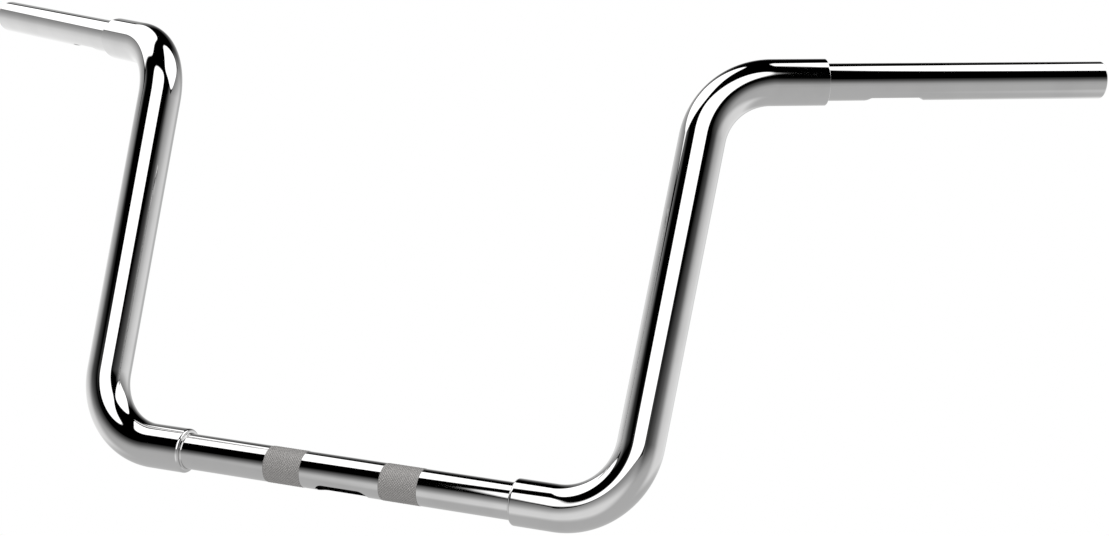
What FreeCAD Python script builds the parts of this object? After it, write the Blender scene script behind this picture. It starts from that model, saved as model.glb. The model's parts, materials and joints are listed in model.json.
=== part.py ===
"""Stepped cruiser handlebar: two fat bent risers that carry a thinner clamp tube and two thinner grip tubes.

Millimetres, in the attitude in which the bar is ridden. The origin is the middle of the clamp tube.
+X runs along the clamp tube, +Y runs back to the rider and +Z is up, so the two grips lie level.
"""
import FreeCAD, Part
import math
import os

os.makedirs("parts", exist_ok=True)

Vector = FreeCAD.Vector

# Tube sizes
TUBE_OD = 25.4             # clamp tube and grip tubes: the size that clamps, levers and grips are made for
TUBE_WALL = 3.0
SPIGOT_STEP = 0.35         # a tube's end is turned down this far in radius, to enter a riser
SLIP_CLEARANCE = 0.125     # radial gap between a turned-down end and the riser's bore
RISER_WALL = 3.4           # with the values above this makes a riser 31.75 across

# Bending sheet of one riser, in the order in which the tube leaves the clamp tube
SHOULDER_SPACING = 251.0   # clamp tube that shows between the two risers
FOOT_RUN = 28.9            # straight stub between the clamp tube's shoulder and the foot bend
BEND_RADIUS = 50.8         # centre line of both bends
UPRIGHT_RUN = 210.0        # straight run between the two bends
TOP_RUN = 37.8             # straight stub between the top bend and the grip's shoulder
GRIP_LENGTH = 196.85       # grip tube that shows outside the riser
SPLAY = 2.25               # degrees that an upright leans out to its side
LEAN_BACK = 26.5           # degrees that the uprights lean back to the rider
SWEEP_BACK = 27.75         # degrees that a level grip turns back from the clamp tube's line

# Edges and joints
FOOT_CHAMFER = 1.6         # broken outer edge of a riser's end at the clamp tube
TOP_CHAMFER = 0.7          # the same at the grip tube
WELD_LEG = 0.8             # ground weld that fills the gap between a riser's end and the tube's step
BEND_GAP = 2.0             # a pushed-in tube stops this far short of the bend
END_CHAMFER = 0.8          # broken outer edge of a bar end

# Knurled bands that the riser clamps grip
KNURL_SPACING = 88.9
KNURL_WIDTH = 28.6
KNURL_LIFT = 0.2           # knurling raises the band this far above the tube

# Wiring slot in the clamp tube, on the side away from the uprights
SLOT_LENGTH = 40.0
SLOT_WIDTH = 13.0
SLOT_TURN = 8.0            # degrees that it looks further forward than the plane of the uprights

# Dimple pressed up into the underside of a grip tube, where the wires of the controls pass
DIMPLE_START = 28.0        # from the shoulder
DIMPLE_LENGTH = 42.0
DIMPLE_DEPTH = 2.5
DIMPLE_RAMP = 4.0          # length of the slope at each end

# Worked out from the driving dimensions
TUBE_RADIUS = TUBE_OD / 2
TUBE_BORE = TUBE_RADIUS - TUBE_WALL
SPIGOT_RADIUS = TUBE_RADIUS - SPIGOT_STEP
RISER_BORE = SPIGOT_RADIUS + SLIP_CLEARANCE
RISER_RADIUS = RISER_BORE + RISER_WALL
SHOULDER_X = SHOULDER_SPACING / 2
CLAMP_TUBE_HALF = SHOULDER_X + FOOT_RUN - BEND_GAP
GRIP_PUSHED_IN = TOP_RUN - BEND_GAP

ORIGIN = Vector(0, 0, 0)
X_AXIS = Vector(1, 0, 0)
Z_AXIS = Vector(0, 0, 1)
SIDES = {"left": -1, "right": 1}


def lean_direction():
    """Up the plane of the uprights, at right angles to the clamp tube."""
    lean = math.radians(LEAN_BACK)
    return Vector(0, math.sin(lean), math.cos(lean))


def upright_direction(side):
    splay = math.radians(SPLAY)
    return X_AXIS * (side * math.sin(splay)) + lean_direction() * math.cos(splay)


def grip_direction(side):
    sweep = math.radians(SWEEP_BACK)
    return Vector(side * math.cos(sweep), math.sin(sweep), 0)


def slot_direction():
    """Out of the wiring slot: below the clamp tube and a little to the front."""
    turn = math.radians(LEAN_BACK + SLOT_TURN)
    return Vector(0, -math.sin(turn), -math.cos(turn))


def straight(start, heading, length, radius):
    """One straight run of solid bar, and the point where it ends."""
    return Part.makeCylinder(radius, length, start, heading), start + heading * length


def bend(start, heading, new_heading, radius):
    """One bend of solid bar from heading to new_heading, and the point where it ends."""
    turn = heading.getAngle(new_heading)
    inward = (new_heading - heading * math.cos(turn)).normalize()
    centre = start + inward * BEND_RADIUS
    section = Part.Circle(start, heading, radius)
    section.XAxis = inward
    disc = Part.Face(Part.Wire(section.toShape()))
    solid = disc.revolve(centre, heading.cross(inward), math.degrees(turn))
    end = centre + (heading * math.sin(turn) - inward * math.cos(turn)) * BEND_RADIUS
    return solid, end


def riser_runs(side, radius):
    """The five runs of solid bar along a riser's centre line, and the grip's shoulder where they end."""
    along = X_AXIS * side
    up = upright_direction(side)
    out = grip_direction(side)
    foot, point = straight(along * SHOULDER_X, along, FOOT_RUN, radius)
    foot_bend, point = bend(point, along, up, radius)
    upright, point = straight(point, up, UPRIGHT_RUN, radius)
    top_bend, point = bend(point, up, out, radius)
    top, shoulder = straight(point, out, TOP_RUN, radius)
    return [foot, foot_bend, upright, top_bend, top], shoulder


def laid_along(shape, start, heading):
    """Places a shape modelled along +X, with +Z up, so that it starts at a point and runs along heading."""
    up = (Z_AXIS - heading * heading.dot(Z_AXIS)).normalize()
    turn = FreeCAD.Rotation(heading, up.cross(heading), up, "XZY")
    placed = shape.copy()
    placed.Placement = FreeCAD.Placement(start, turn)
    return placed


def circle_edges(shape, radius, centre):
    """The round edges of a given radius about a given centre."""
    tolerance = 1e-4

    def matches(curve):
        if not isinstance(curve, Part.Circle):
            return False
        return abs(curve.Radius - radius) < tolerance and curve.Center.distanceToPoint(centre) < tolerance

    return [edge for edge in shape.Edges if matches(edge.Curve)]


def weld_bead(shoulder, outward):
    """Ring of weld ground to a flat fillet, from a riser's end down to the surface of the tube."""
    bead = Part.makeCone(TUBE_RADIUS + WELD_LEG, TUBE_RADIUS, WELD_LEG, shoulder, outward)
    return bead.cut(Part.makeCylinder(RISER_BORE, WELD_LEG, shoulder, outward))


def riser(side):
    """Fat bent tube with broken edges and a weld bead at each shoulder."""
    along = X_AXIS * side
    foot = along * SHOULDER_X
    bars, shoulder = riser_runs(side, RISER_RADIUS)
    bars[0] = bars[0].makeChamfer(FOOT_CHAMFER, circle_edges(bars[0], RISER_RADIUS, foot))
    bars[-1] = bars[-1].makeChamfer(TOP_CHAMFER, circle_edges(bars[-1], RISER_RADIUS, shoulder))
    bores = riser_runs(side, RISER_BORE)[0]
    runs = [bar.cut(bore) for bar, bore in zip(bars, bores)]
    beads = [weld_bead(foot, along * -1), weld_bead(shoulder, grip_direction(side))]
    return runs[0].fuse(runs[1:] + beads)


def wiring_slot():
    """Cutter for the slot: a round-ended prism from the tube's axis out through one wall."""
    round_end = SLOT_WIDTH / 2
    half_flat = SLOT_LENGTH / 2 - round_end
    reach = TUBE_OD
    flat = Part.makeBox(2 * half_flat, SLOT_WIDTH, reach, Vector(-half_flat, -round_end, 0))
    ends = [Part.makeCylinder(round_end, reach, Vector(x, 0, 0)) for x in (-half_flat, half_flat)]
    cutter = flat.fuse(ends)
    cutter.Placement = FreeCAD.Placement(ORIGIN, FreeCAD.Rotation(Z_AXIS, slot_direction()))
    return cutter


def clamp_tube():
    """Straight middle tube with turned-down ends, two knurled bands and a wiring slot between them."""
    length = 2 * CLAMP_TUBE_HALF
    start = X_AXIS * -CLAMP_TUBE_HALF
    half_shown = SHOULDER_X - WELD_LEG
    rounds = [Part.makeCylinder(TUBE_RADIUS, 2 * half_shown, X_AXIS * -half_shown, X_AXIS)]
    for middle in (-KNURL_SPACING / 2, KNURL_SPACING / 2):
        band_start = X_AXIS * (middle - KNURL_WIDTH / 2)
        rounds.append(Part.makeCylinder(TUBE_RADIUS + KNURL_LIFT, KNURL_WIDTH, band_start, X_AXIS))
    bar = Part.makeCylinder(SPIGOT_RADIUS, length, start, X_AXIS).fuse(rounds)
    bore = Part.makeCylinder(TUBE_BORE, length, start, X_AXIS)
    return bar.cut([bore, wiring_slot()])


def dimple_press(radius):
    """What the press pushes out of a round of this radius along +X: a flat with a ramp at each end."""
    overlap = 1.0
    lead = overlap * DIMPLE_RAMP / DIMPLE_DEPTH
    far = DIMPLE_START + DIMPLE_LENGTH
    below = -radius - overlap
    flat = -radius + DIMPLE_DEPTH
    corners = [
        Vector(DIMPLE_START - lead, -radius, below),
        Vector(DIMPLE_START + DIMPLE_RAMP, -radius, flat),
        Vector(far - DIMPLE_RAMP, -radius, flat),
        Vector(far + lead, -radius, below),
    ]
    profile = Part.Face(Part.makePolygon(corners + corners[:1]))
    return profile.extrude(Vector(0, 2 * radius, 0))


def grip_tube(side):
    """Straight grip tube: turned down to enter the riser, open at the bar end and dimpled below."""
    length = GRIP_PUSHED_IN + GRIP_LENGTH
    start = X_AXIS * -GRIP_PUSHED_IN
    step = X_AXIS * WELD_LEG
    shown = Part.makeCylinder(TUBE_RADIUS, GRIP_LENGTH - WELD_LEG, step, X_AXIS)
    shown = shown.makeChamfer(END_CHAMFER, circle_edges(shown, TUBE_RADIUS, X_AXIS * GRIP_LENGTH))
    bar = Part.makeCylinder(SPIGOT_RADIUS, GRIP_PUSHED_IN + WELD_LEG, start, X_AXIS).fuse(shown)
    bore = Part.makeCylinder(TUBE_BORE, length, start, X_AXIS)
    tube = bar.cut(dimple_press(TUBE_RADIUS)).cut(bore.cut(dimple_press(TUBE_BORE)))
    shoulder = riser_runs(side, RISER_RADIUS)[1]
    return laid_along(tube, shoulder, grip_direction(side))


def export(name, shape):
    """Writes one piece and prints its size, so that a bad solid shows at once."""
    solid = shape.Solids[0]
    box = solid.BoundBox
    print(name, "solids", len(shape.Solids), "valid", solid.isValid(), "volume", round(solid.Volume),
          "box", [round(v, 1) for v in (box.XMin, box.YMin, box.ZMin, box.XMax, box.YMax, box.ZMax)])
    solid.exportStep("parts/" + name + ".step")


export("clamp_tube", clamp_tube())
for side_name, side_sign in SIDES.items():
    export(side_name + "_riser", riser(side_sign))
    export(side_name + "_grip_tube", grip_tube(side_sign))
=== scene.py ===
# %% [markdown]
# # A stepped chrome handlebar
# The real bar is five steel tubes, pushed into one another, welded and chrome plated. The CAD model gives
# their exact shapes. Here each tube gets a finer skin, its plating and its knurling, and a studio to
# mirror. Everything is in metres, in the CAD frame: +X along the clamp tube, +Y back to the rider, +Z up.

# %% Load the frame
import json
import math

import bmesh
import bpy
import numpy as np
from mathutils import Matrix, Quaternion, Vector


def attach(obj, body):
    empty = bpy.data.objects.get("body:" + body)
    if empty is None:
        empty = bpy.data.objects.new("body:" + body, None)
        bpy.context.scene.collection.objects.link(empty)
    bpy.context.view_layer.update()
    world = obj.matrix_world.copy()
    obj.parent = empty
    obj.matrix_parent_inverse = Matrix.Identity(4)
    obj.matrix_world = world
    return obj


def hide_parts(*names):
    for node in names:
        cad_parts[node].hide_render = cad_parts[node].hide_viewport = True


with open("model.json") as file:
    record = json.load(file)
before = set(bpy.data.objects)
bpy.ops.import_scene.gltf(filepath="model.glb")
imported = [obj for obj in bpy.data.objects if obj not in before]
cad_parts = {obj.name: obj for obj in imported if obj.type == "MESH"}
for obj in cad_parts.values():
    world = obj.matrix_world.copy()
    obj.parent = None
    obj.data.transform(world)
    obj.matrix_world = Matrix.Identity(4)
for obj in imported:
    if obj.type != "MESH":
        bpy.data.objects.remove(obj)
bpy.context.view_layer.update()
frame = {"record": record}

# %% [markdown]
# A tube bender works from a short sheet: tube sizes, straight runs, one bend radius and a few angles. The
# same sheet drives this script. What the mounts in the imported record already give, such as the tube's
# radius, the knurled bands and the heading of the grips, is read there, so that the two can't drift
# apart.

# %% Sizes of the bar
MM = 0.001
SIDES = {"left": -1, "right": 1}
mounts = {mount["name"]: mount for mount in frame["record"]["mounts"]}

TUBE_RADIUS = mounts["right_grip"]["dims"]["r_mm"] * MM
TUBE_WALL = 3 * MM
SPIGOT_STEP = 0.35 * MM
SLIP_CLEARANCE = 0.125 * MM
RISER_WALL = 3.4 * MM
SHOULDER_X = 125.5 * MM
FOOT_RUN = 28.9 * MM
UPRIGHT_RUN = 210 * MM
TOP_RUN = 37.8 * MM
BEND_RADIUS = 50.8 * MM
BEND_GAP = 2 * MM
WELD_LEG = 0.8 * MM
SPLAY = math.radians(2.25)
LEAN_BACK = math.radians(26.5)

TUBE_BORE = TUBE_RADIUS - TUBE_WALL
SPIGOT_RADIUS = TUBE_RADIUS - SPIGOT_STEP
RISER_BORE = SPIGOT_RADIUS + SLIP_CLEARANCE
RISER_RADIUS = RISER_BORE + RISER_WALL
print("tube", round(2 * TUBE_RADIUS / MM, 2), "mm and riser", round(2 * RISER_RADIUS / MM, 2), "mm across")

# %% [markdown]
# A material is a tree of nodes. It could be wired by hand in the editor, or link by link in Python, but
# both are hard to read later. So one small class wraps a socket: arithmetic on it adds Math nodes, and
# its method `node` adds any other node. Geometry Nodes trees use the same class.

# %% Node trees as Python expressions
class Wire:
    """A socket in a node tree. Arithmetic on wires adds Math nodes."""

    def __init__(self, tree, socket=None):
        self.tree = tree
        self.socket = socket

    def node(self, kind, inputs=None, settings=None, output=0):
        """Adds a node: its settings first, then the values or wires of its sockets. Gives one output."""
        made = self.tree.nodes.new(kind)
        for name, value in (settings or {}).items():
            setattr(made, name, value)
        for name, value in (inputs or {}).items():
            if isinstance(value, Wire):
                self.tree.links.new(value.socket, made.inputs[name])
            else:
                made.inputs[name].default_value = value
        return Wire(self.tree, made.outputs[output] if made.outputs else None)

    def other(self, output):
        """Another output of the same node."""
        return Wire(self.tree, self.socket.node.outputs[output])

    def math(self, operation, *values):
        return self.node("ShaderNodeMath", dict(enumerate(values)), {"operation": operation})

    def vector(self, operation, inputs, output="Vector"):
        return self.node("ShaderNodeVectorMath", inputs, {"operation": operation}, output)

    def __add__(self, value):
        return self.math("ADD", self, value)

    def __sub__(self, value):
        return self.math("SUBTRACT", self, value)

    def __mul__(self, value):
        return self.math("MULTIPLY", self, value)

    def __truediv__(self, value):
        return self.math("DIVIDE", self, value)

    def __rsub__(self, value):
        return self.math("SUBTRACT", value, self)

    def __rtruediv__(self, value):
        return self.math("DIVIDE", value, self)

    __radd__ = __add__
    __rmul__ = __mul__

    def between(self, low, high):
        """0 below low, 1 above high and a smooth step between them."""
        step = {"Value": self, "From Min": low, "From Max": high}
        return self.node("ShaderNodeMapRange", step, {"interpolation_type": "SMOOTHSTEP"})

    def level(self, low, high):
        """A number that is low where this wire is 0, and high where it is 1."""
        return low + (high - low) * self

    def mix(self, low, high):
        """A colour that is low where this wire is 0, and high where it is 1."""
        ends = {0: self, 6: (*low, 1), 7: (*high, 1)}
        return self.node("ShaderNodeMix", ends, {"data_type": "RGBA"}, output=2)


print("one class,", Wire.__name__, "for every tree")

# %% [markdown]
# ## Finishes
# Decorative chrome is a neutral mirror that gives back a bit more than half of the light. A plain mirror
# would look unreal, because buffing leaves a slight haze in patches and a very shallow waviness. A
# picture could hold both, but it needs an unwrapped surface. Noise on Object coordinates needs none and
# stays where it is.

# %% Chrome plate
CHROME_CLEAR, CHROME_HAZED = (0.568, 0.566, 0.565), (0.535, 0.533, 0.532)
CLEAR_ROUGHNESS, HAZED_ROUGHNESS = 0.02, 0.05
HAZE_START, HAZE_FULL = 0.4, 0.8
WAVE_HEIGHT, WAVE_STRENGTH = 0.2 * MM, 0.05


def empty_material(name):
    """A material with nothing in its tree, and a wire to start the tree from."""
    material = bpy.data.materials.new(name)
    material.use_nodes = True
    material.node_tree.nodes.clear()
    return material, Wire(material.node_tree)


def noise(tree, patches, detail):
    """Noise fixed to the piece, with about so many patches in a metre."""
    place = tree.node("ShaderNodeTexCoord", output="Object")
    return tree.node("ShaderNodeTexNoise", {"Vector": place, "Scale": patches, "Detail": detail})


def chrome_plate():
    """Mirror chrome with a slight haze and waviness."""
    material, tree = empty_material("chrome_plate")
    haze = noise(tree, patches=38.0, detail=4.0).between(HAZE_START, HAZE_FULL)
    waves = noise(tree, patches=55.0, detail=1.0)
    relief = {"Height": waves, "Strength": WAVE_STRENGTH, "Distance": WAVE_HEIGHT}
    bump = tree.node("ShaderNodeBump", relief)
    metal = tree.node("ShaderNodeBsdfPrincipled", {
        "Base Color": haze.mix(CHROME_CLEAR, CHROME_HAZED),
        "Metallic": 1.0,
        "Roughness": haze.level(CLEAR_ROUGHNESS, HAZED_ROUGHNESS),
        "Normal": bump,
    })
    tree.node("ShaderNodeOutputMaterial", {"Surface": metal})
    return material


plate = chrome_plate()
print("made", plate.name)

# %% [markdown]
# The knurled bands are plated too, but their teeth scatter what they mirror. The valleys are painted
# darker and a little warm, as painted shade, and they are duller and less metallic than the tips. Shade
# can be painted on, or found by tracing how much light reaches a corner. On a round band there is an
# easier way: the distance from the tube's axis tells a tooth's tip from its valley.

# %% Knurled plate
# The valley colour is painted shade, darker and a little warm, in the knurl's valleys.
VALLEY_SHADE_COLOUR, TIP_COLOUR = (0.29, 0.282, 0.276), (0.425, 0.414, 0.405)
VALLEY_METALLIC, TIP_METALLIC = 0.4, 0.9
VALLEY_ROUGHNESS, TIP_ROUGHNESS = 0.56, 0.46
VALLEY_SINK = 0.02 * MM
band = mounts["right_clamp_band"]
KNURL_TIP = band["dims"]["r_mm"] * MM
KNURL_VALLEY = TUBE_RADIUS - VALLEY_SINK


def knurled_plate():
    """Plate that is bright on the teeth's tips, with painted shade in the valleys."""
    material, tree = empty_material("knurled_plate")
    place = tree.node("ShaderNodeTexCoord", output="Object")
    across = tree.vector("MULTIPLY", {0: place, 1: (0, 1, 1)})
    radius = tree.vector("LENGTH", {0: across}, "Value")
    # Painted shade: 0 in the valleys, which take the dark valley colour, and 1 on the tips.
    out_of_valley_shade = radius.between(KNURL_VALLEY, KNURL_TIP)
    metal = tree.node("ShaderNodeBsdfPrincipled", {
        "Base Color": out_of_valley_shade.mix(VALLEY_SHADE_COLOUR, TIP_COLOUR),
        "Metallic": out_of_valley_shade.level(VALLEY_METALLIC, TIP_METALLIC),
        "Roughness": out_of_valley_shade.level(VALLEY_ROUGHNESS, TIP_ROUGHNESS),
    })
    tree.node("ShaderNodeOutputMaterial", {"Surface": metal})
    return material


knurled = knurled_plate()
print("made", knurled.name, "for teeth", round((KNURL_TIP - KNURL_VALLEY) / MM, 2), "mm high")

# %% [markdown]
# Plating hardly reaches into a tube, so the bores stay bare, dull steel, with a brown tinge of old oil in
# patches. They show only at the bar ends and in the wiring slot, so plain noise is enough for them.

# %% Bare bore
STEEL_COLOUR, OIL_COLOUR = (0.2, 0.195, 0.19), (0.11, 0.095, 0.08)
STEEL_ROUGHNESS, OIL_ROUGHNESS = 0.45, 0.65
STEEL_METALLIC = 0.85
STAIN_START, STAIN_FULL = 0.35, 0.7


def bare_bore():
    """Dull steel with stains of old oil."""
    material, tree = empty_material("bare_bore")
    stain = noise(tree, patches=140.0, detail=5.0).between(STAIN_START, STAIN_FULL)
    metal = tree.node("ShaderNodeBsdfPrincipled", {
        "Base Color": stain.mix(STEEL_COLOUR, OIL_COLOUR),
        "Metallic": STEEL_METALLIC,
        "Roughness": stain.level(STEEL_ROUGHNESS, OIL_ROUGHNESS),
    })
    tree.node("ShaderNodeOutputMaterial", {"Surface": metal})
    return material


bore_steel = bare_bore()
print("made", bore_steel.name)

# %% [markdown]
# ## Skins over rings
# A tube could be a cylinder with bevelled edges, but a mirror shows each fault of a surface. So every
# tube is a skin over rings, which lie close together round an edge. One more ring stands just beside the
# edge: it keeps the edge from bending the mirror image along the long, plain runs.

# %% Rings and profiles
AROUND = 160
HOLD_DISTANCE = 0.3 * MM
ARC_STEPS = 8
turn = np.linspace(0, 2 * np.pi, AROUND, endpoint=False)


def ring(x, radius):
    """One round ring about the X axis."""
    return np.stack([np.full(AROUND, x), radius * np.cos(turn), radius * np.sin(turn)], axis=1)


def held(points):
    """Adds a holding ring beside both ends of every run that is long enough for it."""
    full = []
    for (x0, r0), (x1, r1) in zip(points, points[1:]):
        full.append((x0, r0))
        run = math.hypot(x1 - x0, r1 - r0)
        if run > 3 * HOLD_DISTANCE:
            for share in (HOLD_DISTANCE / run, 1 - HOLD_DISTANCE / run):
                full.append((x0 + (x1 - x0) * share, r0 + (r1 - r0) * share))
    return full + points[-1:]


def arc(centre, radius, start, end):
    """Points on an arc in the plane of a profile: x along the tube and distance from its axis."""
    angles = np.radians(np.linspace(start, end, ARC_STEPS + 1))
    return [(centre[0] + radius * math.cos(a), centre[1] + radius * math.sin(a)) for a in angles]


print(AROUND, "points in a ring")

# %% [markdown]
# A skin goes along the outside of a tube, turns in at its end and comes back along the bore. That makes
# it a closed shell with a real wall, where a Solidify modifier would give every stretch the same wall. A
# flag on each face says whether it lies in the bore, because the bore has a finish of its own.

# %% Closed shells
def add_object(name, data):
    """Puts a mesh, a curve or a camera into the scene as an object."""
    obj = bpy.data.objects.new(name, data)
    bpy.context.collection.objects.link(obj)
    return obj


def shell(name, points, faces, bore_flags):
    """A mesh object whose faces know whether they lie in the bore."""
    mesh = bpy.data.meshes.new(name)
    mesh.from_pydata(points.tolist(), [], faces)
    mesh.attributes.new("bore", "BOOLEAN", "FACE").data.foreach_set("value", bore_flags)
    return add_object(name, mesh)


def skin(name, rings, is_bore):
    """A closed shell over rings that go along the outside of a tube and come back along its bore."""
    count = len(rings)
    faces = []
    bore_flags = []
    for i in range(count):
        following = (i + 1) % count
        here, there = i * AROUND, following * AROUND
        for j in range(AROUND):
            beside = (j + 1) % AROUND
            faces.append((here + j, here + beside, there + beside, there + j))
        bore_flags += [is_bore[i] and is_bore[following]] * AROUND
    return shell(name, np.concatenate(rings), faces, bore_flags)


print("a skin has", AROUND, "faces between two rings")

# %% [markdown]
# Smooth shading makes flat faces look round, but it would smear the real edges too. So edges beyond an
# angle stay sharp. A finished piece is then handed to the frame, in place of the plain CAD node that it
# stands for.

# %% Finish and hand over
SHARP_ANGLE = math.radians(35)


def finish_skin(obj, materials):
    """Smooth shading with sharp edges, and the first two materials on the outside and in the bore."""
    mesh = obj.data
    mesh.shade_smooth()
    mesh.set_sharp_from_angle(angle=SHARP_ANGLE)
    mesh.materials.clear()
    for material in materials:
        mesh.materials.append(material)
    in_bore = np.zeros(len(mesh.polygons), dtype=bool)
    mesh.attributes["bore"].data.foreach_get("value", in_bore)
    mesh.polygons.foreach_set("material_index", in_bore.astype(np.int32))


def put_on(obj, *nodes):
    """Hands a finished piece to the frame: it rides on the one body and stands for its CAD node."""
    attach(obj, "root")
    if nodes:
        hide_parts(*nodes)
    print(obj.name, len(obj.data.polygons), "faces")


print("edges past", round(math.degrees(SHARP_ANGLE)), "degrees stay sharp")

# %% [markdown]
# ## The risers
# A riser is a fat tube, bent twice over the same former: up out of the clamp tube's line, and then back
# and out into the grip's line. Its three headings fix how far each bend turns, and with that how long the
# tube has to be before it is bent.

# %% Headings and lengths of a riser
def directions(side):
    """Headings of a riser: along the clamp tube, up the upright and out along the grip."""
    along = Vector((side, 0, 0))
    lean = Vector((0, math.sin(LEAN_BACK), math.cos(LEAN_BACK)))
    up = along * math.sin(SPLAY) + lean * math.cos(SPLAY)
    out = Vector(mounts["right_grip"]["axis"])
    out.x *= side
    return along, up, out


along, up, out = directions(1)
FOOT_TURN = along.angle(up)
TOP_TURN = up.angle(out)
FOOT_LENGTH = WELD_LEG + FOOT_RUN
TOP_LENGTH = TOP_RUN + WELD_LEG
runs = [FOOT_LENGTH, BEND_RADIUS * FOOT_TURN, UPRIGHT_RUN, BEND_RADIUS * TOP_TURN, TOP_LENGTH]
marks = np.cumsum([0] + runs)
RISER_LENGTH = marks[-1]
print("bends", round(math.degrees(FOOT_TURN), 1), "and", round(math.degrees(TOP_TURN), 1), "degrees")

# %% [markdown]
# The maker starts from a straight length of tube, and so does the script: a straight skin first, with
# rings close together where a bend will come. Its two ends have a weld, a flat shoulder and a rounded
# edge. At the grips the weld and the edge are finer than at the clamp tube.

# %% A riser before bending
FOOT_ROUND, FOOT_WELD = 1.9 * MM, 0.8 * MM
TOP_ROUND, TOP_WELD = 0.4 * MM, 0.3 * MM
WELD_POINTS = 7
BEND_STEP = math.radians(1.5)


def riser_end(edge_round, weld_height):
    """Profile of a riser's end: weld toe, hollow weld, flat shoulder and rounded edge."""
    turns = np.linspace(0, math.pi / 2, WELD_POINTS)
    weld = [(WELD_LEG * math.sin(a), TUBE_RADIUS + weld_height * (1 - math.cos(a))) for a in turns]
    edge_centre = (WELD_LEG + edge_round, RISER_RADIUS - edge_round)
    return [(0, RISER_BORE)] + weld + arc(edge_centre, edge_round, 180, 90)


def bend_rings(radius, step):
    """Rings through both bends. The upright between them is plain and needs none."""
    places = []
    for start, end in ((marks[1], marks[2]), (marks[3], marks[4])):
        places += list(np.linspace(start, end, 1 + round((end - start) / (BEND_RADIUS * step))))
    return [(x, radius) for x in places]


foot_end = riser_end(FOOT_ROUND, FOOT_WELD)
top_end = [(RISER_LENGTH - x, r) for x, r in reversed(riser_end(TOP_ROUND, TOP_WELD))]
outside = held(foot_end + bend_rings(RISER_RADIUS, BEND_STEP) + top_end)
way_back = bend_rings(RISER_BORE, 2 * BEND_STEP)[::-1]
inside = held([(RISER_LENGTH, RISER_BORE)] + way_back + [(0, RISER_BORE)])[1:-1]
riser_profile = outside + inside
print("straight riser", round(RISER_LENGTH / MM, 1), "mm long,", len(riser_profile), "rings")

# %% [markdown]
# A Curve modifier could bend the tube, but it hides how. Bending follows a path, so Geometry Nodes do it
# in the open. The centre line is drawn with sharp corners, Fillet Curve rounds them to the former's
# radius, and Sample Curve finds where each point of the straight tube ends up.

# %% Bending over the former
def new_tree(name, inputs):
    """An empty Geometry Nodes tree with named inputs. Gives the wire of the geometry put into it."""
    tree = bpy.data.node_groups.new(name, "GeometryNodeTree")
    for title, kind in {"Geometry": "Geometry", **inputs}.items():
        tree.interface.new_socket(title, in_out="INPUT", socket_type="NodeSocket" + kind)
    tree.interface.new_socket("Geometry", in_out="OUTPUT", socket_type="NodeSocketGeometry")
    return Wire(tree).node("NodeGroupInput")


def bending_tree():
    """Moves each point of a straight tube to its place along a filleted centre line."""
    given = new_tree("bend_over_former", {
        "Centre line": "Object", "Bend radius": "Float", "Points in a bend": "Int",
        "Plate": "Material", "Bore": "Material",
    })
    line = given.node("GeometryNodeObjectInfo", {"Object": given.other("Centre line")}, output="Geometry")
    line = given.node("GeometryNodeFilletCurve", {
        "Curve": line, "Count": given.other("Points in a bend"), "Radius": given.other("Bend radius"),
    }, {"mode": "POLY"})
    x = given.node("ShaderNodeSeparateXYZ", {0: given.node("GeometryNodeInputPosition")})
    sample = {"Curves": line, "Length": x}
    spot = given.node("GeometryNodeSampleCurve", sample, {"mode": "LENGTH"}, output="Position")
    normal = spot.other("Normal")
    sideways = given.vector("CROSS_PRODUCT", {0: spot.other("Tangent"), 1: normal})
    for direction, distance in ((normal, x.other("Y")), (sideways, x.other("Z"))):
        offset = given.vector("SCALE", {0: direction, "Scale": distance})
        spot = given.vector("ADD", {0: spot, 1: offset})
    bent = given.node("GeometryNodeSetPosition", {"Geometry": given, "Position": spot})
    bent = given.node("GeometryNodeRealizeInstances", {"Geometry": bent})
    bent = given.node("GeometryNodeSetMaterial", {"Geometry": bent, "Material": given.other("Plate")})
    in_bore = given.node("GeometryNodeInputNamedAttribute", {"Name": "bore"}, {"data_type": "BOOLEAN"})
    bent = given.node("GeometryNodeSetMaterial", {
        "Geometry": bent, "Selection": in_bore, "Material": given.other("Bore"),
    })
    given.node("NodeGroupOutput", {"Geometry": bent})
    return given.tree


former = bending_tree()
print("made", former.name, "with", len(former.nodes), "nodes")

# %% [markdown]
# The tree needs a centre line for each side. A bender's drawing gives it by its sharp corners: each lies
# past the straight run by the bend's set-back, which is the radius times the tangent of half the turn.

# %% Centre lines
FOOT_SET_BACK = BEND_RADIUS * math.tan(FOOT_TURN / 2)
TOP_SET_BACK = BEND_RADIUS * math.tan(TOP_TURN / 2)


def centre_line(side):
    """Sharp-cornered centre line of a riser, from weld toe to weld toe, and the grip's shoulder."""
    along, up, out = directions(side)
    start = along * (SHOULDER_X - WELD_LEG)
    foot_corner = start + along * (FOOT_LENGTH + FOOT_SET_BACK)
    top_corner = foot_corner + up * (FOOT_SET_BACK + UPRIGHT_RUN + TOP_SET_BACK)
    end = top_corner + out * (TOP_SET_BACK + TOP_LENGTH)
    corners = (start, foot_corner, top_corner, end)
    curve = bpy.data.curves.new("centre_line", "CURVE")
    curve.dimensions = "3D"
    spline = curve.splines.new("POLY")
    spline.points.add(len(corners) - 1)
    for point, corner in zip(spline.points, corners):
        point.co = (*corner, 1)
    return add_object("centre_line", curve), end - out * WELD_LEG


print("set-backs", round(FOOT_SET_BACK / MM, 1), "and", round(TOP_SET_BACK / MM, 1), "mm")

# %% [markdown]
# The two risers are mirror images. A mirrored copy can come out inside out, so each one is bent from the
# same straight skin along its own centre line. The result is kept as a plain mesh, because a finished
# piece carries no live Geometry Nodes, and the centre line is thrown away.

# %% Both risers
BEND_POINTS = 96


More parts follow.
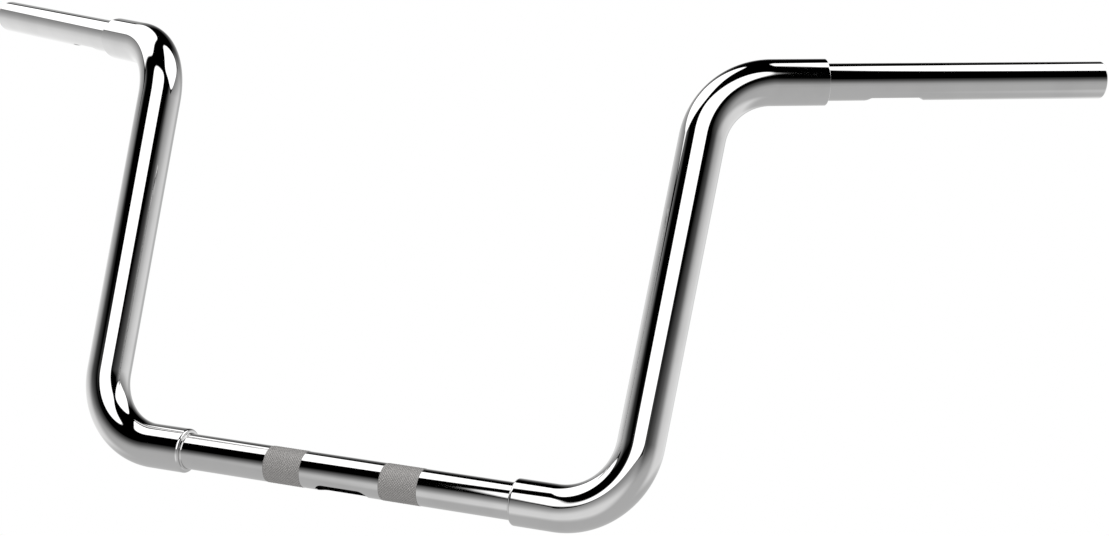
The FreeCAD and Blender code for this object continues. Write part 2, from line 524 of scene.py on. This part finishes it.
def run_tree(obj, tree, values):
    """Runs a Geometry Nodes tree on an object once and keeps the result as a plain mesh."""
    modifier = obj.modifiers.new(tree.name, "NODES")
    modifier.node_group = tree
    for item in tree.interface.items_tree:
        if item.in_out == "INPUT" and item.name in values:
            modifier[item.identifier] = values[item.name]
    evaluated = obj.evaluated_get(bpy.context.evaluated_depsgraph_get())
    mesh = bpy.data.meshes.new_from_object(evaluated)
    obj.modifiers.clear()
    obj.data = mesh


shoulders = {}
straight_rings = [ring(x, r) for x, r in riser_profile]
straight_bore = [r <= RISER_BORE for x, r in riser_profile]
for side_name, side in SIDES.items():
    line, shoulders[side_name] = centre_line(side)
    riser = skin(side_name + "_riser_plated", straight_rings, straight_bore)
    run_tree(riser, former, {
        "Centre line": line, "Bend radius": BEND_RADIUS, "Points in a bend": BEND_POINTS,
        "Plate": plate, "Bore": bore_steel,
    })
    bpy.data.objects.remove(line)
    finish_skin(riser, [plate, bore_steel])
    put_on(riser, side_name + "_riser")

# %% [markdown]
# ## The grip tubes
# Below each grip tube a press has pushed a dimple into the wall, where the control wires pass. A Boolean
# cut would thin the wall there, and a real press doesn't. So both skins, outside and bore, are raised by
# the same press. A soft maximum rounds the edge that it leaves.

# %% A pressed dimple
DIMPLE_START = 28 * MM
DIMPLE_LENGTH = 42 * MM
DIMPLE_DEPTH = 2.5 * MM
DIMPLE_RAMP = 4 * MM
DIMPLE_STEP = 0.5 * MM
PRESS_SOFTNESS = 0.25 * MM


def press_depth(x):
    """How far the press has pushed the wall in at a place along the tube."""
    into = min(x - DIMPLE_START, DIMPLE_START + DIMPLE_LENGTH - x) / DIMPLE_RAMP
    share = min(max(into, 0), 1)
    return DIMPLE_DEPTH * share * share * (3 - 2 * share)


def pressed_ring(x, radius):
    """One ring, with its lower part raised onto the press."""
    points = ring(x, radius)
    depth = press_depth(x)
    if depth > 0:
        press_top = depth - radius
        above = (points[:, 2] - press_top) / PRESS_SOFTNESS
        points[:, 2] = press_top + PRESS_SOFTNESS * np.logaddexp(0, above)
    return points


dimple_steps = round(DIMPLE_LENGTH / DIMPLE_STEP)
dimple_places = np.linspace(DIMPLE_START, DIMPLE_START + DIMPLE_LENGTH, dimple_steps + 1)
print("dimple", DIMPLE_DEPTH / MM, "mm deep,", len(dimple_places), "rings")

# %% [markdown]
# A grip tube is straight and level. It is easiest to draw along +X, where a ring is a circle in Y and Z,
# and then to lay along its heading. The turned-down end that enters the riser is part of the same
# profile.

# %% Both grip tubes
GRIP_LENGTH = 196.85 * MM
END_ROUND = 0.8 * MM


def grip_profile():
    """Rings of a grip tube: pushed-in end, dimpled outside, rounded bar end and back along the bore."""
    inner_end = BEND_GAP - TOP_RUN
    spigot = [(inner_end, TUBE_BORE), (inner_end, SPIGOT_RADIUS), (WELD_LEG, SPIGOT_RADIUS)]
    shown = [(WELD_LEG, TUBE_RADIUS)] + [(x, TUBE_RADIUS) for x in dimple_places]
    rounded = arc((GRIP_LENGTH - END_ROUND, TUBE_RADIUS - END_ROUND), END_ROUND, 90, 0)
    bore = [(GRIP_LENGTH, TUBE_BORE)] + [(x, TUBE_BORE) for x in dimple_places[::-1]]
    return held(spigot + shown + rounded + bore + spigot[:1])[:-1]


def placed(points, start, heading):
    """Takes points from along +X to along a level heading."""
    sideways = Vector((0, 0, 1)).cross(heading)
    axes = np.array([heading, sideways, (0, 0, 1)])
    return points @ axes + np.array(start)


profile = grip_profile()
for side_name, side in SIDES.items():
    heading = directions(side)[2]
    rings = [placed(pressed_ring(x, r), shoulders[side_name], heading) for x, r in profile]
    grip = skin(side_name + "_grip_plated", rings, [r <= TUBE_BORE for x, r in profile])
    finish_skin(grip, [plate, bore_steel])
    put_on(grip, side_name + "_grip_tube")

# %% [markdown]
# ## The clamp tube
# The middle tube has a wiring slot with round ends, on the side away from the uprights. A Boolean cut can
# leave long thin faces, which a mirror shows as streaks. Seen end on, the tube's section is an O that
# opens to a C where the slot is, so the skin is built from such sections, and its faces follow the slot.

# %% Sections of the slotted tube
SLOT_LENGTH = 40 * MM
SLOT_WIDTH = 13 * MM
SLOT_TURN = math.radians(8)
SLOT_ROUND = SLOT_WIDTH / 2
SLOT_FLAT_END = SLOT_LENGTH / 2 - SLOT_ROUND
slot_axis = -Vector((0, math.sin(LEAN_BACK + SLOT_TURN), math.cos(LEAN_BACK + SLOT_TURN)))
slot_side = Vector((1, 0, 0)).cross(slot_axis)


def slot_half_width(x):
    """Half the slot's width at a place along the tube: straight sides and round ends."""
    past = max(abs(x) - SLOT_FLAT_END, 0)
    return math.sqrt(max(SLOT_ROUND ** 2 - past ** 2, 0))


def section_arc(x, radius):
    """Points round the tube at one place, from one lip of the slot to the other."""
    lip = math.asin(min(slot_half_width(x) / radius, 1))
    angles = np.linspace(lip, 2 * math.pi - lip, AROUND + 1)
    flat = np.outer(np.cos(angles), slot_axis) + np.outer(np.sin(angles), slot_side)
    return radius * flat + np.array((x, 0, 0))


print("slot", round(SLOT_LENGTH / MM), "x", round(SLOT_WIDTH / MM), "mm")

# %% [markdown]
# Sections stand where something happens along the tube: close together in the slot's round ends, at the
# edges of the knurled bands and at the turned-down ends. Half the tube is listed, and the other half is
# its mirror image.

# %% Places along the clamp tube
SLOT_END_STEPS = 14
BAND_MIDDLE = abs(band["pos_m"][0])
BAND_HALF = band["dims"]["length_mm"] * MM / 2


def clamp_half():
    """Places and outside radii along half of the tube, from the slot's middle to its pushed-in end."""
    quarter = np.linspace(0, math.pi / 2, SLOT_END_STEPS + 1)
    slot = [(0, TUBE_RADIUS)] + [(SLOT_FLAT_END + SLOT_ROUND * math.sin(a), TUBE_RADIUS) for a in quarter]
    band_edges = [(BAND_MIDDLE + edge, TUBE_RADIUS) for edge in (-BAND_HALF, BAND_HALF)]
    step = SHOULDER_X - WELD_LEG
    end = SHOULDER_X + FOOT_RUN - BEND_GAP
    pushed_in = [(step, TUBE_RADIUS), (step, SPIGOT_RADIUS), (end, SPIGOT_RADIUS)]
    return slot[:-1] + held(slot[-1:] + band_edges + pushed_in)


half = clamp_half()
stations = [(-x, r) for x, r in half[:0:-1]] + half
print(len(stations), "sections along the clamp tube")

# %% [markdown]
# The sections are joined by faces: the outside, the bore, the slot's walls and a ring at each end. They
# are listed one by one, because the general skin knows only closed rings.

# %% Shell of the clamp tube
def clamp_faces():
    """The shell's faces, each with a flag for the bore, whose points follow those of the outside."""
    row = AROUND + 1
    last = len(stations) - 1
    inner = len(stations) * row
    for i in range(last):
        for j in range(AROUND):
            a, b = i * row + j, (i + 1) * row + j
            yield (a, a + 1, b + 1, b), False
            yield (inner + b, inner + b + 1, inner + a + 1, inner + a), True
        if slot_half_width(stations[i][0]) > 0 or slot_half_width(stations[i + 1][0]) > 0:
            a, b = i * row, (i + 1) * row
            yield (a, b, inner + b, inner + a), False
            a, b = a + AROUND, b + AROUND
            yield (inner + a, inner + b, b, a), False
    for j in range(AROUND):
        yield (j + 1, j, inner + j, inner + j + 1), False
        a = last * row + j
        yield (a, a + 1, inner + a + 1, inner + a), False


outer_sections = [section_arc(x, r) for x, r in stations]
inner_sections = [section_arc(x, TUBE_BORE) for x, r in stations]
faces, bore_flags = zip(*clamp_faces())
clamp = shell("clamp_tube_plated", np.concatenate(outer_sections + inner_sections), faces, bore_flags)
print("clamp tube", len(faces), "faces")

# %% [markdown]
# Where a section is closed, its two lips lie on the same spot and leave double points. A bmesh merges
# them, so that the skin is closed and its shading smooth. No open edge should be left.

# %% Merge the closed lips
MERGE_DISTANCE = 0.001 * MM
work = bmesh.new()
work.from_mesh(clamp.data)
bmesh.ops.remove_doubles(work, verts=work.verts, dist=MERGE_DISTANCE)
open_edges = sum(not edge.is_manifold for edge in work.edges)
work.to_mesh(clamp.data)
work.free()
print("open edges", open_edges)

# %% [markdown]
# The teeth of a knurled band leave small gaps along its edges. If bright plate showed there, the band's
# edge would look like a saw. So the tube has the knurl's finish under the bands, and each band ends in a
# straight line.

# %% Finish of the clamp tube
# Under the bands the tube lies at about the valley radius, so it takes the knurl's painted valley shade.
finish_skin(clamp, [plate, bore_steel, knurled])
clamp_finishes = clamp.data.materials
for face in clamp.data.polygons:
    on_band = abs(abs(face.center.x) - BAND_MIDDLE) < BAND_HALF
    if on_band and clamp_finishes[face.material_index] == plate:
        face.material_index = clamp_finishes.find(knurled.name)
put_on(clamp, "clamp_tube")

# %% [markdown]
# ## Knurling
# The riser clamps grip two bands of diamond teeth, rolled into the tube. A bump in the material would
# look flat at the band's outline, so the teeth are real. One tooth is a blunt four-sided cone. Rows of
# teeth repeat, every second row half a tooth further round, so Geometry Nodes place them from their index
# alone.

# %% Knurling roller
# Share of a tooth's width that is left flat at its tip
BLUNT_TIP = 0.2


def knurling_tree():
    """Sets rows of diamond teeth round a band of the tube."""
    given = new_tree("diamond_knurling", {
        "Band middle": "Float", "Band width": "Float", "Valley radius": "Float", "Tooth height": "Float",
        "Teeth around": "Int", "Rows": "Int", "Finish": "Material",
    })
    teeth, rows = given.other("Teeth around"), given.other("Rows")
    radius, width = given.other("Valley radius"), given.other("Band width")
    number = given.node("GeometryNodeInputIndex")
    in_row = (number + 0.5) / teeth
    row_number = in_row.math("FLOOR", in_row)
    shift = 0.5 * row_number.math("MODULO", row_number, 2)
    angle = (number - row_number * teeth + shift) * (2 * math.pi) / teeth
    row_step = width / (rows + 1)
    x = given.other("Band middle") - 0.5 * width + (row_number + 1) * row_step
    round_it = {"Y": angle.math("COSINE", angle), "Z": angle.math("SINE", angle)}
    radial = given.node("ShaderNodeCombineXYZ", round_it)
    on_axis = given.node("ShaderNodeCombineXYZ", {"X": x})
    reach = given.vector("SCALE", {0: radial, "Scale": radius})
    spot = given.vector("ADD", {0: on_axis, 1: reach})
    spots = given.node("GeometryNodePoints", {"Count": teeth * rows, "Position": spot})
    tooth = given.node("GeometryNodeMeshCone", {
        "Vertices": 4, "Radius Top": BLUNT_TIP, "Radius Bottom": 1.0, "Depth": given.other("Tooth height"),
    })
    axes = {"Primary Axis": radial, "Secondary Axis": (1, 0, 0)}
    facing = given.node("FunctionNodeAxesToRotation", axes, {"primary_axis": "Z", "secondary_axis": "X"})
    size = given.node("ShaderNodeCombineXYZ", {"X": row_step, "Y": radius * math.pi / teeth, "Z": 1.0})
    rolled = given.node("GeometryNodeInstanceOnPoints", {
        "Points": spots, "Instance": tooth, "Rotation": facing, "Scale": size,
    })
    rolled = given.node("GeometryNodeRealizeInstances", {"Geometry": rolled})
    rolled = given.node("GeometryNodeSetMaterial", {"Geometry": rolled, "Material": given.other("Finish")})
    given.node("NodeGroupOutput", {"Geometry": rolled})
    return given.tree


knurl_roller = knurling_tree()
print("made", knurl_roller.name, "with", len(knurl_roller.nodes), "nodes")

# %% [markdown]
# A roller only fits a tube with a whole number of teeth round it, so the pitch is rounded to that. The
# bands lie where the record's clamp mounts are. They stand for no CAD node of their own: in the solids a
# band is plain.

# %% Knurled bands
TEETH_PITCH = 2 * MM
teeth_around = round(2 * math.pi * TUBE_RADIUS / TEETH_PITCH)
tooth_rows = round(4 * BAND_HALF / TEETH_PITCH)
for side_name, side in SIDES.items():
    name = side_name + "_knurled_band"
    teeth = add_object(name, bpy.data.meshes.new(name))
    run_tree(teeth, knurl_roller, {
        "Band middle": side * BAND_MIDDLE, "Band width": 2 * BAND_HALF, "Valley radius": KNURL_VALLEY,
        "Tooth height": KNURL_TIP - KNURL_VALLEY, "Teeth around": teeth_around, "Rows": tooth_rows,
        "Finish": knurled,
    })
    put_on(teeth)

# %% [markdown]
# ## The studio
# Chrome has no colour of its own: what one sees is the room. The photograph's reflections show three big
# soft boxes about a third of a turn apart, high round the bar, black cloth between and above them, and a
# pale floor. A ready-made picture of a studio wouldn't give these bands, so the set is built from them.

# %% Stage helpers
STAGE_RADIUS = 12.0


def seen(tree):
    """1 for rays that come from the camera, or from it by way of a mirror or glass, else 0."""
    path = tree.node("ShaderNodeLightPath", output="Is Camera Ray")
    mirrored = path.math("MAXIMUM", path.other("Is Glossy Ray"), path.other("Is Transmission Ray"))
    return path.math("MAXIMUM", path, mirrored)


def stage_object(name, mesh, material):
    """Something in the studio that isn't part of the bar."""
    obj = add_object(name, mesh)
    mesh.materials.append(material)
    return obj


def mesh_from(work, name):
    """Turns a bmesh into a mesh and frees it."""
    mesh = bpy.data.meshes.new(name)
    work.to_mesh(mesh)
    work.free()
    return mesh


print("stage", STAGE_RADIUS, "m in radius")

# %% [markdown]
# The floor is pale paper, which takes the bar's faint shadow. Real paper would end somewhere and grow
# dark with distance. Here it runs out to plain white, for the camera and for mirror images. Light Path
# tells those rays apart, so that the white lights nothing by itself.

# %% Floor
FLOOR_DROP = 0.55
FLOOR_PALE = 0.78
FLOOR_SEGMENTS = 96
PAPER_END, WHITE_START = 0.55, 0.95


def floor_material():
    """Pale paper below the bar, which runs out to plain white."""
    material, tree = empty_material("pale_floor")
    place = tree.node("ShaderNodeTexCoord", output="Object")
    away = place.vector("LENGTH", {0: place}, "Value")
    paper = tree.node("ShaderNodeBsdfDiffuse", {"Color": (FLOOR_PALE, FLOOR_PALE, FLOOR_PALE, 1)})
    white = tree.node("ShaderNodeEmission", {"Strength": 1.0})
    far = away.between(PAPER_END, WHITE_START) * seen(tree)
    shown = tree.node("ShaderNodeMixShader", {0: far, 1: paper, 2: white})
    tree.node("ShaderNodeOutputMaterial", {"Surface": shown})
    material.cycles.emission_sampling = "NONE"
    return material


work = bmesh.new()
bmesh.ops.create_circle(work, cap_ends=True, radius=STAGE_RADIUS, segments=FLOOR_SEGMENTS)
floor = stage_object("floor", mesh_from(work, "floor"), floor_material())
floor.location.z = -FLOOR_DROP
print("floor", FLOOR_DROP, "m below the clamp tube")

# %% [markdown]
# The air round the stage is white in the same way: the camera sees it, and it lights nothing. A world
# that lit the bar from all sides would wash out the dark bands in the chrome.

# %% World
world = bpy.data.worlds.new("white_room")
bpy.context.scene.world = world
world.use_nodes = True
world.node_tree.nodes.clear()
tree = Wire(world.node_tree)
air = tree.node("ShaderNodeBackground", {"Color": (1, 1, 1, 1), "Strength": seen(tree)})
tree.node("ShaderNodeOutputWorld", {"Surface": air})
print("made", world.name)

# %% [markdown]
# A soft box is a cloth lit from behind. Its corners are round and its rim is a little dimmer. An area
# lamp would light as well, but its mirror image has hard corners, so each box is a glowing sheet. The sum
# of two high powers, across and up the sheet, draws a rectangle with round corners.

# %% Soft box cloth
BOX_STRENGTH = 2.15
BOX_ROUNDNESS = 4.3
BOX_SOFT_EDGE = 0.09


def box_material():
    """Glowing cloth with round corners and a soft rim."""
    material, tree = empty_material("soft_box_cloth")
    place = tree.node("ShaderNodeSeparateXYZ", {0: tree.node("ShaderNodeTexCoord", output="UV")})
    reach = 0.0
    for side in (place, place.other("Y")):
        from_middle = tree.math("ABSOLUTE", 2 * side - 1)
        reach = tree.math("POWER", from_middle, BOX_ROUNDNESS) + reach
    lit = 1 - reach.between((1 - BOX_SOFT_EDGE) ** BOX_ROUNDNESS, 1)
    light = tree.node("ShaderNodeEmission", {"Color": lit, "Strength": BOX_STRENGTH})
    tree.node("ShaderNodeOutputMaterial", {"Surface": light})
    return material


cloth = box_material()
print("made", cloth.name)

# %% [markdown]
# Each box leans over the bar. A lamp could be turned by angles, but edges are easier to measure in a
# studio: a box is given by its azimuth, the distance and height of its lower and its upper edge, and half
# its width. The camera doesn't see the boxes, so that other views of the bar stay plain.

# %% Soft boxes
# Azimuth in degrees, then in metres: lower edge away and up, upper edge away and up, half the width
SOFT_BOXES = (
    (-109.5, 6.64, 2.44, 2.64, 8.41, 3.57),
    (12.5, 2.52, 0.94, 0.75, 2.86, 1.36),
    (129.7, 4.09, 1.63, 1.75, 5.83, 2.32),
)


def toward(azimuth):
    """Level direction at an azimuth: 0 is to the front, and it grows to the right."""
    a = math.radians(azimuth)
    return Vector((math.sin(a), -math.cos(a), 0))


def box_corners(azimuth, low_away, low_height, high_away, high_height, half):
    """Corners of a soft box, from its lower left one round."""
    ahead, across, up = toward(azimuth), toward(azimuth + 90), Vector((0, 0, 1))
    low = ahead * low_away + up * low_height
    high = ahead * high_away + up * high_height
    return [low - across * half, low + across * half, high + across * half, high - across * half]


for place in SOFT_BOXES:
    mesh = bpy.data.meshes.new("soft_box")
    mesh.from_pydata(box_corners(*place), [], [(0, 1, 2, 3)])
    mesh.uv_layers.new(name="cloth").data.foreach_set("uv", (0, 0, 1, 0, 1, 1, 0, 1))
    box = stage_object("soft_box", mesh, cloth)
    box.visible_camera = False
print(len(SOFT_BOXES), "soft boxes")

# %% [markdown]
# What the chrome sees between the boxes decides its dark bands. A black tent stands round the set, its
# grey skirt lies on the floor, and light pools on the skirt below each box. Real cloth would also block
# and bounce light. This tent is there for the mirror images alone, so it glows by itself and no other ray
# meets it.

# %% Light on the tent
POOL_MIDDLE = (0, 0.25, 0)
POOL_START, POOL_FULL = 0.7, 1.25
# Azimuth of each pool, and degrees from there to its edge and to its full brightness
LIGHT_POOLS = ((-109.5, 48, 22), (6.5, 42, 16), (129.7, 48, 22))
# Degrees above the level of the clamp tube, and brightness there
TENT_GLOW = ((-60, 0.7), (-12, 0.68), (-4, 0.6), (8, 0.3), (15, 0.13), (27, 0.0))
POOL_GLOW = ((-60, 0.47), (-10, 0.46), (3, 0.34), (20, 0.32), (27, 0.24), (33, 0.0))


def faded(height, stops):
    """Light that falls off with height, through stops of degrees and brightness."""
    glow = 0.0
    for (low, bright), (high, dim) in zip(stops, stops[1:]):
        step = {
            "Value": height, "To Min": bright - dim, "To Max": 0.0,
            "From Min": math.sin(math.radians(low)), "From Max": math.sin(math.radians(high)),
        }
        glow = height.node("ShaderNodeMapRange", step) + glow
    return glow


def light_pools(place):
    """1 below the soft boxes, and 0 in the gaps between them and close to the bar."""
    level = place.vector("MULTIPLY", {0: place, 1: (1, 1, 0)})
    heading = place.vector("NORMALIZE", {0: level})
    share = 0.0
    for azimuth, edge, core in LIGHT_POOLS:
        facing = place.vector("DOT_PRODUCT", {0: heading, 1: toward(azimuth)}, "Value")
        share = facing.between(math.cos(math.radians(edge)), math.cos(math.radians(core))) + share
    from_middle = place.vector("DISTANCE", {0: level, 1: POOL_MIDDLE}, "Value")
    return share * from_middle.between(POOL_START, POOL_FULL)


print(len(LIGHT_POOLS), "light pools")

# %% [markdown]
# The tent is a dome with a disc, its skirt, just above the floor. Its light fades with the angle at which
# a point lies above the clamp tube, and the pools begin a little way out from the bar. The glow is kept
# out of Blender's light sampling, because the tent lights nothing and would only add noise.

# %% Black tent
SKIRT_LIFT = 0.01
TENT_TUCK = 0.1
TENT_SEGMENTS = 64


def tent_material():
    """Dark cloth that glows towards the floor and below the soft boxes."""
    material, tree = empty_material("tent_cloth")
    place = tree.node("ShaderNodeTexCoord", output="Object")
    away = place.vector("LENGTH", {0: place}, "Value")
    height = tree.node("ShaderNodeSeparateXYZ", {0: place}).other("Z") / away
    light = faded(height, TENT_GLOW) + light_pools(place) * faded(height, POOL_GLOW)
    glow = tree.node("ShaderNodeEmission", {"Color": light})
    tree.node("ShaderNodeOutputMaterial", {"Surface": glow})
    material.cycles.emission_sampling = "NONE"
    return material


work = bmesh.new()
bmesh.ops.create_uvsphere(work, u_segments=TENT_SEGMENTS, v_segments=TENT_SEGMENTS, radius=STAGE_RADIUS)
below = [vert for vert in work.verts if vert.co.z < -FLOOR_DROP - TENT_TUCK]
bmesh.ops.delete(work, geom=below, context="VERTS")
skirt = bmesh.ops.create_circle(work, cap_ends=True, radius=STAGE_RADIUS, segments=TENT_SEGMENTS)
bmesh.ops.translate(work, verts=skirt["verts"], vec=(0, 0, SKIRT_LIFT - FLOOR_DROP))
tent = stage_object("black_tent", mesh_from(work, "black_tent"), tent_material())
tent.visible_camera = tent.visible_diffuse = tent.visible_shadow = False
print("tent", len(tent.data.polygons), "faces")

# %% [markdown]
# ## The camera
# A camera can be nudged by eye until the picture looks right. Here its place, its heading and its lens
# were found by fitting the bar's outline to the photograph. It stands in front of the bar, to the right
# and above.

# %% Camera
CAMERA_PLACE = (0.52857, -0.9975, 0.43899)
CAMERA_HEADING = (-0.34216, 0.90561, -0.2506)
CAMERA_ROLL = math.radians(0.577)
LENS_MM = 56.284
SENSOR_MM = 36.0

camera_data = bpy.data.cameras.new("camera")
camera_data.lens = LENS_MM
camera_data.sensor_width = SENSOR_MM
camera_data.sensor_fit = "HORIZONTAL"
camera = add_object("camera", camera_data)
camera.location = CAMERA_PLACE
look = Vector(CAMERA_HEADING).to_track_quat("-Z", "Y")
roll = Quaternion((0, 0, 1), CAMERA_ROLL)
camera.rotation_mode = "QUATERNION"
camera.rotation_quaternion = look @ roll
bpy.context.scene.camera = camera
bpy.context.scene.view_settings.view_transform = "Standard"
print("camera", round(camera.location.length, 2), "m from the clamp tube's middle")
